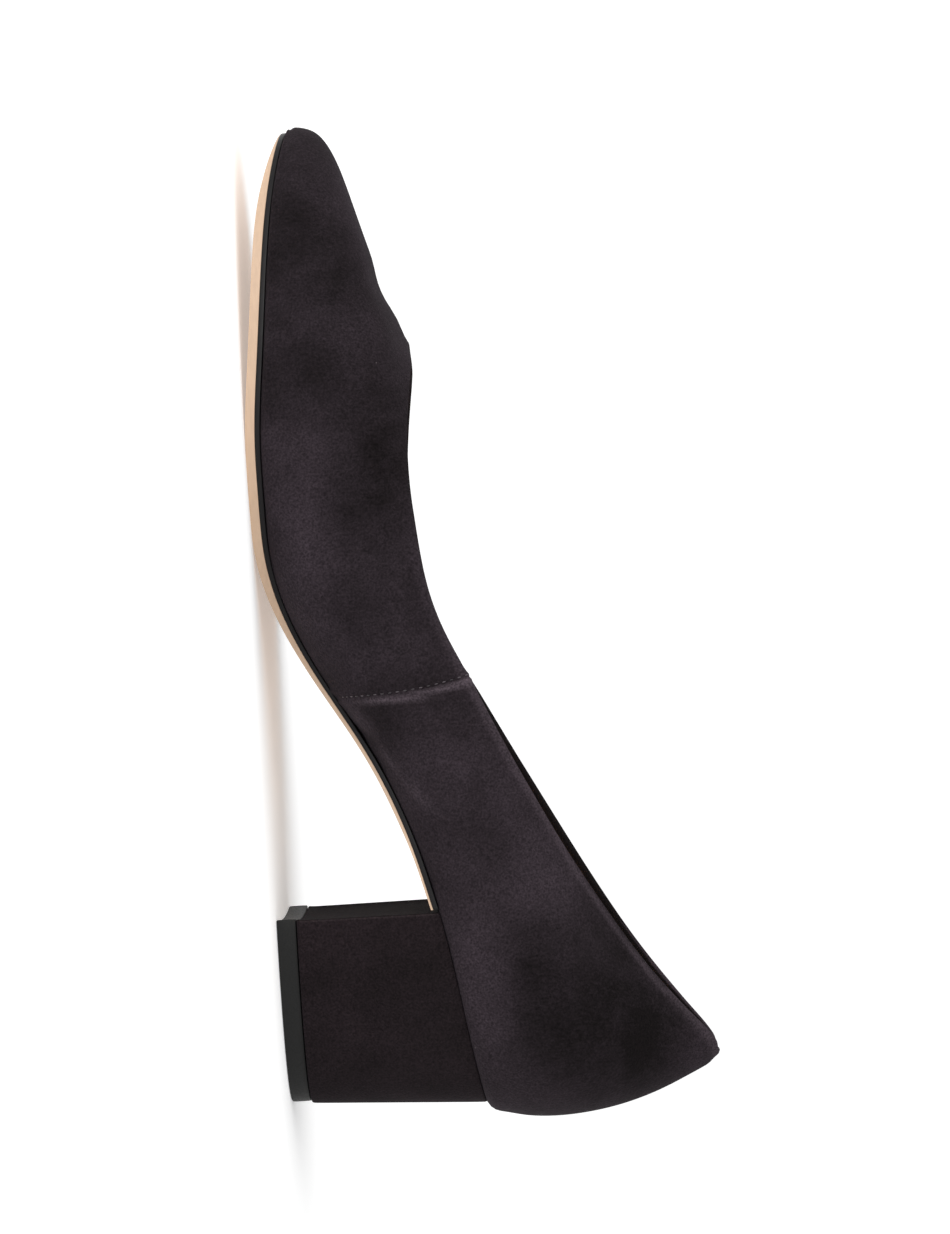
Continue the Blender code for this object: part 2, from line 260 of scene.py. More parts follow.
# Soft troughs and ridges left by lasting and wear. side is +1 on the inner wall and -1 on the outer
# one, heading is degrees up from the toe's direction, and rise is negative for a trough. None runs
# over the middle line.
Crease = namedtuple("Crease", "side station height heading length width rise")
CREASES = (
    Crease(1, 96, 26, 128, 12, 2.6, -0.42),
    Crease(1, 88, 33, 118, 15, 3.4, -0.38),
    Crease(1, 101, 24, 140, 9, 2.4, 0.34),
    Crease(1, 91, 30, 150, 7, 1.7, 0.34),
    Crease(1, 82, 37, 143, 8, 1.8, 0.30),
    Crease(1, 118, 22, 60, 11, 3.6, -0.22),
    Crease(1, 58, 62, 140, 16, 4.0, -0.32),
    Crease(1, 46, 78, 128, 12, 3.2, -0.22),
    Crease(1, 150, 22, 15, 22, 6.0, -0.22),
    Crease(1, 172, 27, 160, 18, 5.0, -0.18),
    Crease(-1, 100, 27, 130, 14, 4.0, -0.28),
    Crease(-1, 88, 36, 118, 15, 4.0, -0.25),
    Crease(-1, 150, 24, 20, 24, 6.0, -0.22),
    Crease(-1, 52, 70, 138, 15, 4.0, -0.22),
)
CREASED_FROM = 8
UNEVEN_RISE, UNEVEN_SPAN = 0.16, 22 * MM


def crease_rises(place):
    """Rise or fall, in millimetres, that each crease gives a place."""
    station, height = station_of(place), place.z / MM
    for crease in CREASES:
        if crease.side * place.y > CREASED_FROM * MM:
            turn = math.radians(crease.heading)
            ahead, above = station - crease.station, height - crease.height
            along = ahead * math.cos(turn) + above * math.sin(turn)
            beside = above * math.cos(turn) - ahead * math.sin(turn)
            yield crease.rise * hump(along, crease.length) * hump(beside, crease.width)


def crease_relief(place):
    """Height of the creases and of the skin's slight unevenness, in millimetres."""
    return UNEVEN_RISE * noise.noise(place / UNEVEN_SPAN) + sum(crease_rises(place))


# Where the nap is drawn lighter: painted highlights on the ridges of creases, and rubbed nap with a
# painted highlight along the outer edge of the topline, which lies one wall thickness from its inner
# edge. Towards the throat the edge is less rubbed and less highlighted.
RIDGE_HIGHLIGHT = 0.9
EDGE_RUB_AND_HIGHLIGHT, EDGE_RUB_AND_HIGHLIGHT_AWAY, EDGE_RUB_AND_HIGHLIGHT_WIDTH = 0.3, 1.7, 1.3
WEAR_AND_SHADE_TO, WEAR_AND_SHADE_FADE = 150, 45
# Painted shade darkens the inside of the fold where it turns in below the topline.
FOLD_SHADE, FOLD_SHADE_AT_THROAT = -0.6, -0.1


def wear_and_shade_share(place):
    """1 along the topline behind the side seam, fading to 0 towards the throat."""
    return min(max((WEAR_AND_SHADE_TO - station_of(place)) / WEAR_AND_SHADE_FADE, 0), 1)


def wear_and_highlight(place, crest_places):
    """Share by which the nap is drawn lighter: painted highlights on crease ridges, and rubbed nap
    with a painted highlight along the topline's outer edge.
    """
    ridges = sum(rise for rise in crease_rises(place) if rise > 0)
    edge = 0.0
    if place.z > spine_at(place).z:
        edge = hump(crest_places.find(place)[2] / MM - EDGE_RUB_AND_HIGHLIGHT_AWAY, EDGE_RUB_AND_HIGHLIGHT_WIDTH)
    return RIDGE_HIGHLIGHT * ridges + EDGE_RUB_AND_HIGHLIGHT * wear_and_shade_share(place) * edge


def turned_in_painted_shade(place):
    """Painted shade on the suede turned in below the topline: darkest behind the side seam, faint at
    the throat.
    """
    return FOLD_SHADE_AT_THROAT + (FOLD_SHADE - FOLD_SHADE_AT_THROAT) * wear_and_shade_share(place)


# Places where the suede is drawn light or dark: brushed nap together with painted light and shade,
# which darkens the back of the quarter most. along and up are the size of each place in millimetres,
# which fades out at the spread below times that, and the last value is positive where the place is
# drawn light.
NapAndShade = namedtuple("NapAndShade", "side station height along up lay")
NAP_AND_SHADE_PATCHES = (
    NapAndShade(1, 152, 12, 26, 9, 0.40),
    NapAndShade(1, 122, 24, 14, 10, -0.12),
    NapAndShade(1, 205, 22, 30, 12, -0.12),
    NapAndShade(1, 168, 31, 18, 10, -0.20),
    NapAndShade(1, 98, 25, 9, 9, -0.2),
    NapAndShade(1, 85, 38, 15, 11, 0.24),
    NapAndShade(1, 60, 47, 14, 9, 0.16),
    NapAndShade(1, 59, 65, 6, 8, 0.18),
    NapAndShade(1, 45, 69, 6, 6, 0.12),
    NapAndShade(1, 34, 49, 13, 9, 0.42),
    NapAndShade(1, 18, 53, 11, 9, 0.22),
    NapAndShade(1, 44, 60, 10, 8, -0.22),
    NapAndShade(1, 38, 66, 11, 9, -0.15),
    NapAndShade(1, 26, 80, 19, 15, -0.52),
    NapAndShade(1, 20, 89, 15, 14, -0.12),
    NapAndShade(1, 17, 97, 14, 14, -0.10),
    NapAndShade(-1, 160, 24, 30, 13, 0.35),
    NapAndShade(-1, 212, 22, 22, 11, 0.15),
    NapAndShade(-1, 94, 36, 14, 11, -0.25),
    NapAndShade(-1, 42, 66, 17, 14, 0.22),
    NapAndShade(-1, 16, 86, 14, 15, -0.35),
)
PATCH_PARTING, PATCH_SPREAD = 4, 1.6


def brushed_nap_and_painted_shade(place):
    """How much lighter (positive) or darker than the rest a place is drawn, by brushed nap and painted
    light and shade.
    """
    lay = 0.0
    for nap in NAP_AND_SHADE_PATCHES:
        if nap.side * (place.y - PATCH_PARTING * MM) > 0:
            ahead = (station_of(place) - nap.station) / nap.along
            above = (place.z / MM - nap.height) / nap.up
            lay += nap.lay * hump(math.hypot(ahead, above), PATCH_SPREAD)
    return lay


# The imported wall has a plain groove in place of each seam. It is filled, and the seam is sewn in
# along its own line. The folds at the throat and at the back of the topline are also softer than
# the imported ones, and the suede sags a little ahead of the throat and along the topline.
PACKED_SEAM_FOOT, PACKED_SEAM_TOP, PACKED_SEAM_BEND = 108.6, 110.4, 3
PACKED_BACK_LOW, PACKED_BACK_HIGH = Vector((5.85, 58.6)), Vector((6.24, 103.1))
PACKED_GROOVE, PACKED_SEAM_REACH, PACKED_BACK_REACH = 0.5, 0.5, 0.4
SoftFold = namedtuple("SoftFold", "station height reach drop")
SOFT_FOLDS = (
    SoftFold(195.5, 41.2, 8.5, 1.0),
    SoftFold(207.5, 35.6, 11.0, 1.1),
    SoftFold(128.0, 44.5, 25.0, 1.3),
    SoftFold(12.5, 108.0, 5.5, 1.5),
)

shell = cad_copy("upper", flat_within=75)
for face in shell.faces:
    face.material_index = int(faces_inside(face))
for vert in shell.verts:
    share = max((vert.co.z / MM - SEAM_FOOT.y) / (SEAM_TOP.y - SEAM_FOOT.y), 0)
    packed_seam = PACKED_SEAM_FOOT + (PACKED_SEAM_TOP - PACKED_SEAM_FOOT) * share**PACKED_SEAM_BEND
    off_seam = abs(station_of(vert.co) - packed_seam)
    outer = not any(face.material_index for face in vert.link_faces)
    if outer and vert.co.y > INNER_WALL_FROM * MM and off_seam < PACKED_SEAM_REACH:
        vert.co += vert.normal * PACKED_GROOVE * MM
    share = (vert.co.z / MM - PACKED_BACK_LOW.y) / (PACKED_BACK_HIGH.y - PACKED_BACK_LOW.y)
    packed_back = PACKED_BACK_LOW.x + (PACKED_BACK_HIGH.x - PACKED_BACK_LOW.x) * share
    off_back = abs(vert.co.y / MM - packed_back)
    if outer and station_of(vert.co) < BACK_WALL_TO and off_back < PACKED_BACK_REACH:
        vert.co += vert.normal * PACKED_GROOVE * MM
shell = subdivided(shell, levels=2, fits=2)
for vert in shell.verts:
    station, height = station_of(vert.co), vert.co.z / MM
    for fold in SOFT_FOLDS:
        away = math.hypot(station - fold.station, height - fold.height)
        vert.co.z -= fold.drop * hump(away, fold.reach) * MM
crest_places = topline_crest(shell)
fold_over_topline(shell, crest_places)
lining_sheet = shell.copy()
# Marks painted into the suede's colour: rubbed nap with painted highlights on the seam's ridge, the
# crease ridges and the topline's edge; brushed nap with painted light and shade over the wall; and
# painted shade on the turned-in fold.
rub_and_highlight = shell.verts.layers.float.new("rub_and_highlight")
lay = shell.verts.layers.float.new("lay")
for vert in shell.verts:
    inner = [face.material_index for face in vert.link_faces]
    turned_in = vert.normal.dot(spine_at(vert.co) - vert.co) > 0
    vert[rub_and_highlight] = 0 if turned_in else min(seam_rub_and_highlight(vert.co) + wear_and_highlight(vert.co, crest_places), 1)
    vert[lay] = turned_in_painted_shade(vert.co) if turned_in else brushed_nap_and_painted_shade(vert.co)
    if not any(inner):
        relief = seam_relief(vert.co) + crease_relief(vert.co) + peak_relief(vert.co)
        vert.co += vert.normal * relief * MM
    elif all(inner):
        vert.co -= vert.normal * LINING_THICKNESS * MM
shell.normal_update()
skin_tree = BVHTree.FromBMesh(shell)


def linear(colour):
    """A colour given as an sRGB hex value, in the linear numbers that shaders use."""
    shares = [int(colour[i : i + 2], 16) / 255 for i in (1, 3, 5)]
    return (*[s / 12.92 if s <= 0.04045 else ((s + 0.055) / 1.055) ** 2.4 for s in shares], 1)


def new_material(name):
    """An empty material with its node tree and Principled shader."""
    made = bpy.data.materials.new(name)
    made.use_nodes = True
    return made, made.node_tree, made.node_tree.nodes["Principled BSDF"]


def add(tree, kind, sockets=None, **settings):
    """Adds a shader node. A socket is given a value, or another node's output to link to."""
    made = tree.nodes.new("ShaderNode" + kind)
    for name, value in settings.items():
        setattr(made, name, value)
    for name, value in (sockets or {}).items():
        if isinstance(value, bpy.types.NodeSocket):
            tree.links.new(value, made.inputs[name])
        else:
            made.inputs[name].default_value = value
    return made


def per_mm(size):
    """Texture scale for a pattern whose repeat is so many millimetres."""
    return 1 / (size * MM)


def brushed_suede(name, dark, light, worn_and_highlight, sheen):
    """Goat suede, split and brushed: a matt pile that lies light or dark in soft strokes.

    The eye sees a velvety, mottled surface with a fine grain, a few specks of lint and no gloss. The
    real fibres are a few hundredths of a millimetre thick, and the strokes and the grain are drawn
    at 0.7 and 0.5 mm so that they show."""
    made, tree, shader = new_material(name)
    where = add(tree, "TexCoord").outputs["Object"]
    upright = add(tree, "Mapping", {"Vector": where, "Scale": (1, 1, 0.4)})
    patches = add(
        tree,
        "TexNoise",
        {"Vector": where, "Scale": per_mm(21), "Detail": 4.0, "Roughness": 0.55, "Distortion": 0.4},
    )
    strokes = add(
        tree,
        "TexNoise",
        {"Vector": upright.outputs["Vector"], "Scale": per_mm(0.7), "Detail": 3.0},
    )
    grain = add(tree, "TexNoise", {"Vector": where, "Scale": per_mm(0.5), "Detail": 3.0})
    stroke_share = add(tree, "Math", {0: strokes.outputs["Fac"], 1: 0.35}, operation="MULTIPLY")
    lay = add(
        tree, "Math", {0: patches.outputs["Fac"], 1: stroke_share.outputs[0]}, operation="ADD"
    )
    lay = add(
        tree,
        "MapRange",
        {"Value": lay.outputs[0], "From Min": 0.27, "From Max": 1.06, "To Min": 0, "To Max": 1},
    )
    # Brushed nap and painted light and shade, set on the mesh, move the tone towards the dark or the
    # light colour.
    placed = add(tree, "Attribute", attribute_name="lay")
    lay = add(
        tree, "Math", {0: lay.outputs[0], 1: placed.outputs["Fac"]}, operation="ADD", use_clamp=True
    )
    brushed = add(
        tree,
        "Mix",
        {0: lay.outputs[0], 6: linear(dark), 7: linear(light)},
        data_type="RGBA",
    )
    # Rubbed nap and painted highlights, set on the mesh, lighten the pile towards the colour given for
    # them.
    rubbed_and_highlit = add(tree, "Attribute", attribute_name="rub_and_highlight")
    pile = add(
        tree,
        "Mix",
        {0: rubbed_and_highlit.outputs["Fac"], 6: brushed.outputs[2], 7: linear(worn_and_highlight)},
        data_type="RGBA",
    )
    tips = add(
        tree,
        "MapRange",
        {
            "Value": grain.outputs["Fac"],
            "From Min": 0.3,
            "From Max": 0.7,
            "To Min": 0.55,
            "To Max": 1.5,
        },
    )
    colour = add(
        tree,
        "Mix",
        {0: 1.0, 6: pile.outputs[2], 7: tips.outputs[0]},
        data_type="RGBA",
        blend_type="MULTIPLY",
    )
    specks = add(tree, "TexVoronoi", {"Vector": where, "Scale": per_mm(13), "Randomness": 1.0})
    lint = add(
        tree,
        "MapRange",
        {
            "Value": specks.outputs["Distance"],
            "From Min": 0.01,
            "From Max": 0.02,
            "To Min": 0.3,
            "To Max": 0,
        },
    )
    dusted = add(
        tree,
        "Mix",
        {0: lint.outputs[0], 6: colour.outputs[2], 7: linear("#8c8084")},
        data_type="RGBA",
    )
    uneven = add(tree, "TexNoise", {"Vector": where, "Scale": per_mm(2.6), "Detail": 2.0})
    soft = add(
        tree,
        "Bump",
        {"Height": uneven.outputs["Fac"], "Strength": 0.4, "Distance": 0.25 * MM},
    )
    rough = add(
        tree,
        "Bump",
        {
            "Height": grain.outputs["Fac"],
            "Strength": 0.8,
            "Distance": 0.3 * MM,
            "Normal": soft.outputs[0],
        },
    )
    tree.links.new(dusted.outputs[2], shader.inputs["Base Color"])
    tree.links.new(rough.outputs[0], shader.inputs["Normal"])
    shader.inputs["Roughness"].default_value = 0.95
    shader.inputs["Specular IOR Level"].default_value = 0.06
    shader.inputs["Sheen Weight"].default_value = sheen
    shader.inputs["Sheen Roughness"].default_value = 0.6
    shader.inputs["Sheen Tint"].default_value = linear("#b5a9b2")
    return made


# The third colour is that of rubbed nap and painted highlights.
suede = brushed_suede("brushed_suede", dark="#0d0a0a", light="#312a2f", worn_and_highlight="#4d444a", sheen=0.045)
piece("upper_suede", shell, suede, "upper")

# Side seam stitches: one row of fine polyester thread through the vamp's edge, just ahead of the
# seam. Each stitch lies on the suede as a short, slightly sunken bead.
STITCH_PITCH, STITCH_LENGTH, STITCH_WIDTH = 1.9, 0.95, 0.36
STITCH_AHEAD, STITCH_SINK = 0.55, 0.04
STITCH_LOWEST, STITCH_HIGHEST = 19.5, 50.2
# The line is followed downwards in small steps, and a stitch points to the line a little below it
STITCH_STEP, STITCH_AIM = 0.05, 0.5
BESIDE_SHOE = 200
stitches = bmesh.new()


def on_inner_wall(height):
    """Point and outward direction of the stitch line on the suede at a height."""
    station = side_seam_station(height) + STITCH_AHEAD
    start = Vector((HEEL_BACK + station * MM, BESIDE_SHOE * MM, height * MM))
    place, normal, _, _ = skin_tree.ray_cast(start, Vector((0, -1, 0)))
    return place, normal


height, last_place = STITCH_HIGHEST, None
while height > STITCH_LOWEST:
    place, normal = on_inner_wall(height)
    if last_place is None or (place - last_place).length >= STITCH_PITCH * MM:
        below, _ = on_inner_wall(height - STITCH_AIM)
        along = (place - below).normalized()
        aside = along.cross(normal).normalized()
        turn = Matrix((along, aside, aside.cross(along))).transposed().to_4x4()
        half_length, half_width = STITCH_LENGTH / 2 * MM, STITCH_WIDTH / 2 * MM
        size = Matrix.Diagonal((half_length, half_width, half_width, 1))
        bead = Matrix.Translation(place - normal * STITCH_SINK * MM) @ turn @ size
        bmesh.ops.create_icosphere(stitches, subdivisions=2, radius=1, matrix=bead)
        last_place = place
    height -= STITCH_STEP
bmesh.ops.recalc_face_normals(stitches, faces=stitches.faces)

thread, tree, shader = new_material("polyester_thread")
# Twisted polyester sewing thread: smooth and faintly shiny, so each stitch catches a point of light.
# The twist of about 0.5 mm is too fine to show. It is drawn over some 6 mm, as a change of tone from
# stitch to stitch: a diagonal wave repeats at 0.63 of the size that it is given.
where = add(tree, "TexCoord").outputs["Object"]
twist = add(
    tree,
    "TexWave",
    {"Vector": where, "Scale": per_mm(10), "Distortion": 1.5},
    bands_direction="DIAGONAL",
)
strand = add(
    tree,
    "Mix",
    {0: twist.outputs["Fac"], 6: linear("#1d181b"), 7: linear("#4a4247")},
    data_type="RGBA",
)
tree.links.new(strand.outputs[2], shader.inputs["Base Color"])
shader.inputs["Roughness"].default_value = 0.38
piece("side_seam_stitches", stitches, thread)

# Lining: thin glazed goat leather inside the whole upper, stuck to the suede and trimmed just below
# the folded topline.
outside = [face for face in lining_sheet.faces if face.material_index == 0]
bmesh.ops.delete(lining_sheet, geom=outside, context="FACES")
bmesh.ops.solidify(lining_sheet, geom=lining_sheet.faces[:], thickness=LINING_THICKNESS * MM)


def lining_leather(name, tone, shade, pebble, relief, roughness):
    """Vegetable tanned lining leather, glazed: pale beige and smooth, with a fine pebbled grain.

    The eye sees soft, broad highlights broken by the grain, and slight clouds in the colour."""
    made, tree, shader = new_material(name)
    where = add(tree, "TexCoord").outputs["Object"]
    clouds = add(tree, "TexNoise", {"Vector": where, "Scale": per_mm(26), "Detail": 3.0})
    cells = add(
        tree,
        "TexVoronoi",
        {"Vector": where, "Scale": per_mm(pebble), "Smoothness": 0.6, "Randomness": 0.9},
        feature="SMOOTH_F1",
    )
    fine = add(tree, "TexNoise", {"Vector": where, "Scale": per_mm(pebble * 0.45), "Detail": 3.0})
    tint = add(
        tree,
        "MapRange",
        {
            "Value": clouds.outputs["Fac"],
            "From Min": 0.35,
            "From Max": 0.68,
            "To Min": 0,
            "To Max": 1,
        },
    )
    leather = add(
        tree,
        "Mix",
        {0: tint.outputs[0], 6: linear(tone), 7: linear(shade)},
        data_type="RGBA",
    )
    pores = add(
        tree,
        "MapRange",
        {
            "Value": cells.outputs["Distance"],
            "From Min": 0.25,
            "From Max": 0.8,
            "To Min": 1.02,
            "To Max": 0.93,
        },
    )
    colour = add(
        tree,
        "Mix",
        {0: 1.0, 6: leather.outputs[2], 7: pores.outputs[0]},
        data_type="RGBA",
        blend_type="MULTIPLY",
    )
    grain = add(
        tree,
        "Bump",
        {"Height": cells.outputs["Distance"], "Strength": relief, "Distance": 0.12 * MM},
        invert=True,
    )
    wrinkle = add(
        tree,
        "Bump",
        {
            "Height": fine.outputs["Fac"],
            "Strength": relief,
            "Distance": 0.08 * MM,
            "Normal": grain.outputs[0],
        },
    )
    gloss = add(
        tree,
        "MapRange",
        {
            "Value": fine.outputs["Fac"],
            "From Min": 0.3,
            "From Max": 0.7,
            "To Min": roughness - 0.06,
            "To Max": roughness + 0.08,
        },
    )
    tree.links.new(colour.outputs[2], shader.inputs["Base Color"])
    tree.links.new(gloss.outputs[0], shader.inputs["Roughness"])
    tree.links.new(wrinkle.outputs[0], shader.inputs["Normal"])
    shader.inputs["Specular IOR Level"].default_value = 0.4
    return made


glazed_lining = lining_leather(
    "glazed_lining_leather", "#fbe8ce", "#f7debf", pebble=0.8, relief=0.25, roughness=0.5
)
piece("lining", lining_sheet, glazed_lining)

# Sock: the insole's foam-backed cover of the same beige leather, rolled over at its edge and glued
# down between the lined walls, from the heel to under the toe.
SOCK_EDGE_RADIUS, SOCK_EDGE_DROP = 3.2, 1.9
SOCK_BODY = 2.9
SOCK_UPWARD = 0.5
HEEL_CUP, HEEL_CUP_STATION, HEEL_CUP_ACROSS, HEEL_CUP_REACH = 0.5, 30, 4.5, 24
sock = cad_copy("insole", flat_within=30)
hidden = [face for face in sock.faces if face.normal.z < SOCK_UPWARD]
bmesh.ops.delete(sock, geom=hidden, context="FACES")
cross_cuts = [edge for edge in sock.edges if not edge.is_boundary]
bmesh.ops.subdivide_edges(sock, edges=cross_cuts, cuts=9, use_grid_fill=True)
sock = subdivided(sock, levels=2, fits=0)
rim = [edge for edge in sock.edges if edge.is_boundary]
rim_verts = list({vert for edge in rim for vert in edge.verts})
rim_places = KDTree(len(rim_verts))
for i, vert in enumerate(rim_verts):
    rim_places.insert(Vector((vert.co.x, vert.co.y, 0)), i)
rim_places.balance()
for vert in sock.verts:
    inset = rim_places.find(Vector((vert.co.x, vert.co.y, 0)))[2] / MM
    share = 1 - min(inset / SOCK_EDGE_RADIUS, 1)
    vert.co.z -= SOCK_EDGE_DROP * (1 - math.sqrt(max(1 - share**2, 0))) * MM
    around = math.hypot(station_of(vert.co) - HEEL_CUP_STATION, vert.co.y / MM - HEEL_CUP_ACROSS)
    vert.co.z -= HEEL_CUP * hump(around, HEEL_CUP_REACH) * MM
top = sock.faces[:]
bmesh.ops.extrude_face_region(sock, geom=top, use_keep_orig=True)
foot = list({vert for face in top for vert in face.verts})
for vert in foot:
    vert.co.z -= (SOCK_BODY - SOCK_EDGE_DROP) * MM
bmesh.ops.recalc_face_normals(sock, faces=sock.faces)
padded_leather = lining_leather(
    "padded_sock_leather", "#fbe8d0", "#f6dec1", pebble=1.1, relief=0.4, roughness=0.46
)
sock_piece = piece("sock", sock, padded_leather, "insole")

# Rand: a narrow strip of black edging let in between upper and sole, round the toe from one side of
# the heel breast to the other, and polished with edge ink.
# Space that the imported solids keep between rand, sole, heel and lift, closed here
GAP = 0.3
RAND_ROUND = 0.28
rand = cad_copy("rand", flat_within=30)
for vert in rand.verts:
    vert.co.z += GAP * MM if vert.normal.z > 0 else 0


def sharp_edges(bm, angle):
    """Edges where two faces meet at more than so many degrees."""
    return [edge for edge in bm.edges if edge.calc_face_angle(0) > math.radians(angle)]


def rounded(bm, edges, radius, segments):
    """Rounds edges to a radius in millimetres."""
    bmesh.ops.bevel(
        bm,
        geom=edges,
        offset=radius * MM,
        offset_type="OFFSET",
        affect="EDGES",
        segments=segments,
        profile=0.5,
        material=-1,
        clamp_overlap=True,
    )


rounded(rand, sharp_edges(rand, angle=50), RAND_ROUND, segments=2)
rand = subdivided(rand, levels=2, fits=0)

edge_ink, tree, shader = new_material("polished_edge_ink")
# Black edge ink, burnished over the strip: a smooth satin film that runs slightly thick and thin, so
# its dim highlight wavers.
where = add(tree, "TexCoord").outputs["Object"]
runs = add(tree, "TexNoise", {"Vector": where, "Scale": per_mm(7), "Detail": 3.0})
dust = add(tree, "TexNoise", {"Vector": where, "Scale": per_mm(0.9), "Detail": 2.0})
ink = add(
    tree,
    "Mix",
    {0: runs.outputs["Fac"], 6: linear("#080708"), 7: linear("#131112")},
    data_type="RGBA",
)
film = add(
    tree,
    "MapRange",
    {"Value": runs.outputs["Fac"], "From Min": 0.3, "From Max": 0.7, "To Min": 0.34, "To Max": 0.52},
)
ripple = add(
    tree,
    "Bump",
    {"Height": dust.outputs["Fac"], "Strength": 0.25, "Distance": 0.06 * MM},
)
tree.links.new(ink.outputs[2], shader.inputs["Base Color"])
tree.links.new(film.outputs[0], shader.inputs["Roughness"])
tree.links.new(ripple.outputs[0], shader.inputs["Normal"])
shader.inputs["Specular IOR Level"].default_value = 0.22
piece("rand_edge", rand, edge_ink, "rand")

# Outsole: a pale leather sole cut to the feather line, pared thin in the waist and at the tip of the
# toe, with its edge trimmed square, slightly rounded and waxed.
SOLE_ROUND = 0.4
SoleEdge = namedtuple("SoleEdge", "station pared")
SOLE_EDGE = (
    SoleEdge(64, 0.85),
    SoleEdge(78, 0.45),
    SoleEdge(118, 0.45),
    SoleEdge(140, 0.0),
    SoleEdge(226, 0.0),
    SoleEdge(240, 0.7),
    SoleEdge(249, 1.5),
)
sole = cad_copy("outsole", flat_within=30)
for vert in sole.verts:
    pared = between(SOLE_EDGE, "pared", station_of(vert.co))
    vert.co.z += (GAP if vert.normal.z > 0 else pared) * MM
rounded(sole, sharp_edges(sole, angle=50), SOLE_ROUND, segments=2)
sole = subdivided(sole, levels=2, fits=0)

sole_leather, tree, shader = new_material("waxed_sole_leather")
# Natural sole leather, buffed and waxed: a pale, warm beige with faint fibres along the sole and a
# satin edge. Fibre streaks are about 1 mm wide and many times as long.
where = add(tree, "TexCoord").outputs["Object"]
lengthways = add(tree, "Mapping", {"Vector": where, "Scale": (0.12, 1, 1)})
fibres = add(
    tree,
    "TexNoise",
    {"Vector": lengthways.outputs["Vector"], "Scale": per_mm(1.0), "Detail": 4.0},
)
clouds = add(tree, "TexNoise", {"Vector": where, "Scale": per_mm(18), "Detail": 2.0})
streaks = add(
    tree,
    "MapRange",
    {"Value": fibres.outputs["Fac"], "From Min": 0.3, "From Max": 0.7, "To Min": 0.94, "To Max": 1.04},
)
tan = add(
    tree,
    "Mix",
    {0: clouds.outputs["Fac"], 6: linear("#caad93"), 7: linear("#c2a58a")},
    data_type="RGBA",
)
waxed = add(
    tree,
    "Mix",
    {0: 1.0, 6: tan.outputs[2], 7: streaks.outputs[0]},
    data_type="RGBA",
    blend_type="MULTIPLY",
)
buffed = add(
    tree,
    "Bump",
    {"Height": fibres.outputs["Fac"], "Strength": 0.3, "Distance": 0.08 * MM},
)
wax = add(
    tree,
    "MapRange",
    {"Value": clouds.outputs["Fac"], "From Min": 0.3, "From Max": 0.7, "To Min": 0.42, "To Max": 0.58},
)
tree.links.new(waxed.outputs[2], shader.inputs["Base Color"])
tree.links.new(wax.outputs[0], shader.inputs["Roughness"])
tree.links.new(buffed.outputs[0], shader.inputs["Normal"])
piece("outsole_leather", sole, sole_leather, "outsole")

# Heel: a block covered in the upper's suede. The cover is drawn round the back and rolled over the
# two edges of the breast, which are drawn lighter as rubbed nap with a painted highlight. A separate
# flap of suede, darkened with painted shade, fills the breast between them.
HEEL_ROUND, BREAST_EDGE_ROUND = 0.5, 1.5
BREAST_FLAP_INSET, BREAST_FLAP_SINK = 3.4, 0.7
# Painted shade on the breast, which faces forward, and rubbed nap with a painted highlight on its
# rolled edges
BREAST_SHADE, BREAST_SHADE_FADE, BREAST_EDGE_RUB_AND_HIGHLIGHT = -0.5, 0.3, 0.35
# Forward share of the direction that the breast and its rolled edges face
BREAST_FORWARD, EDGE_FORWARD, EDGE_SPAN = 0.8, 0.6, 0.35
HEEL_MIDDLE, STANDING = 20, 0.7
heel = cad_copy("heel", flat_within=30)
for vert in heel.verts:
    if vert.co.z > HEEL_MIDDLE * MM:
        vert.co.z += GAP * MM
upright = [e for e in heel.edges if abs((e.verts[0].co - e.verts[1].co).z) > HEEL_MIDDLE * MM]
bmesh.ops.subdivide_edges(heel, edges=upright, cuts=7, use_grid_fill=True)
heel.normal_update()
breast = [face for face in heel.faces if face.normal.x > BREAST_FORWARD]
bmesh.ops.inset_region(
    heel,
    faces=breast,
    thickness=BREAST_FLAP_INSET * MM,
    depth=-BREAST_FLAP_SINK * MM,
    use_even_offset=True,
)
heel.normal_update()
corners = sharp_edges(heel, angle=40)
standing = [e for e in corners if abs((e.verts[0].co - e.verts[1].co).normalized().z) > STANDING]
rounded(heel, standing, BREAST_EDGE_ROUND, segments=3)
rounded(heel, sharp_edges(heel, angle=60), HEEL_ROUND, segments=2)
heel = subdivided(heel, levels=2, fits=0)
# The suede is drawn darker by painted shade where it faces forward on the breast, and lighter by
# rubbed nap with a painted highlight where the rolled edges turn to meet it.
rub_and_highlight = heel.verts.layers.float.new("rub_and_highlight")
lay = heel.verts.layers.float.new("lay")
for vert in heel.verts:
    ahead = vert.normal.x
    vert[rub_and_highlight] = BREAST_EDGE_RUB_AND_HIGHLIGHT * hump(ahead - EDGE_FORWARD, EDGE_SPAN)
    vert[lay] = BREAST_SHADE * min(max((ahead - EDGE_FORWARD) / BREAST_SHADE_FADE, 0), 1)
heel_suede = brushed_suede("heel_suede", dark="#0f0c0c", light="#241d20", worn_and_highlight="#3a3234", sheen=0.04)
piece("heel_cover", heel, heel_suede, "heel")

# Top lift: a black rubber piece nailed and glued under the heel, a little smaller than its cover,
# with its walking edge slightly rounded.
LIFT_ROUND = 0.45
lift = cad_copy("top_lift", flat_within=30)
for vert in lift.verts:
    vert.co.z += GAP * MM if vert.normal.z > 0 else 0
rounded(lift, sharp_edges(lift, angle=40), LIFT_ROUND, segments=2)
lift = subdivided(lift, levels=2, fits=0)

rubber, tree, shader = new_material("moulded_rubber")
